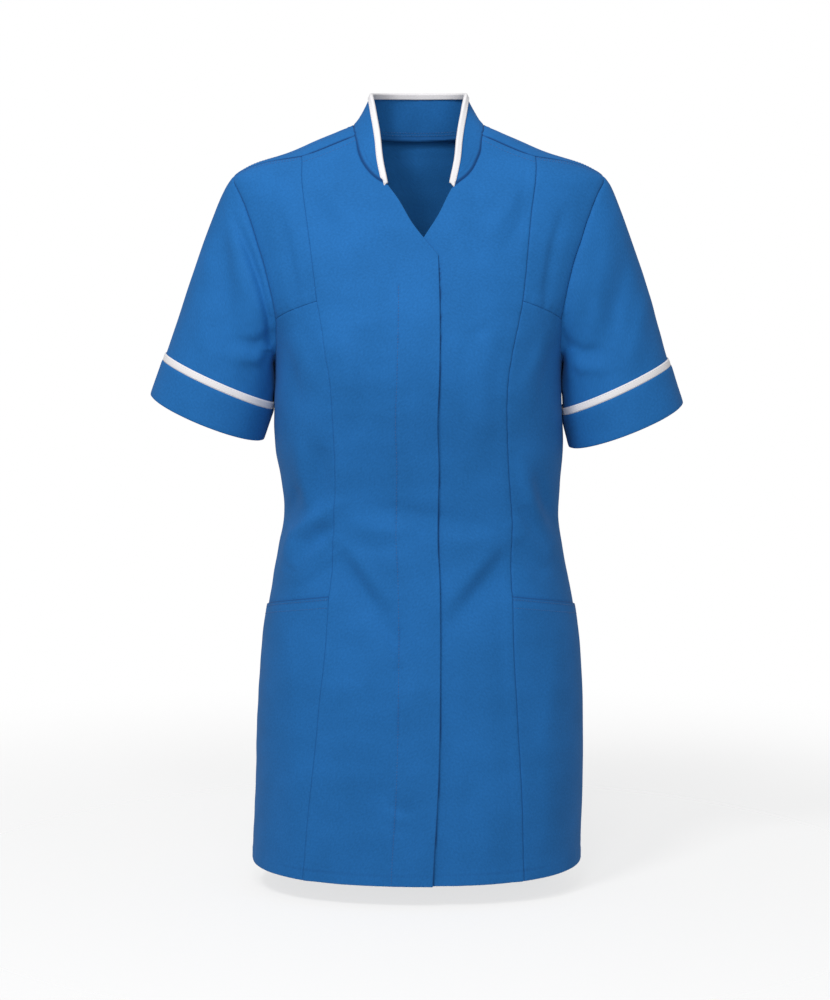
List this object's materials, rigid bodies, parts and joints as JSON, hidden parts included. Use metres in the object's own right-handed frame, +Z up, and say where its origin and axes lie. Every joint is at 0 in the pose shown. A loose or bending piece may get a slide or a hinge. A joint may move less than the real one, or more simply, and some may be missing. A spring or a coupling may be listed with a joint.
{
  "type": "mandarin collar healthcare tunic",
  "caption": "Hospital-blue short-sleeved mandarin collar tunic with a V front under a stand collar edged in white, a concealed fly front, princess seams, hip pockets and white-trimmed cuffs.",
  "frame": {"origin": "centre of the neck, level with the two points where the shoulder seams meet the collar, in the upright plane of the shoulder ridges and side seams", "axes": "+Z up from hem to collar, +X towards the wearer's left, front of the tunic faces -Y"},
  "size_m": [0.5655, 0.2429, 0.8215],
  "materials": {
    "hospital_blue_cotton_blend": "matt, fine plain weave",
    "white_contrast_tape": "matt, fine plain weave"
  },
  "bodies": {
    "root": {"back": "hospital_blue_cotton_blend", "centre_front_right": "hospital_blue_cotton_blend", "centre_front_left": "hospital_blue_cotton_blend", "upper_side_front_right": "hospital_blue_cotton_blend", "upper_side_front_left": "hospital_blue_cotton_blend", "lower_side_front_right": "hospital_blue_cotton_blend", "lower_side_front_left": "hospital_blue_cotton_blend", "pocket_right": "hospital_blue_cotton_blend", "pocket_left": "hospital_blue_cotton_blend", "collar": "hospital_blue_cotton_blend", "collar_binding": "white_contrast_tape", "sleeve_right": "hospital_blue_cotton_blend", "sleeve_left": "hospital_blue_cotton_blend", "trim_right": "white_contrast_tape", "trim_left": "white_contrast_tape", "cuff_right": "hospital_blue_cotton_blend", "cuff_left": "hospital_blue_cotton_blend"}
  },
  "joints": []
}
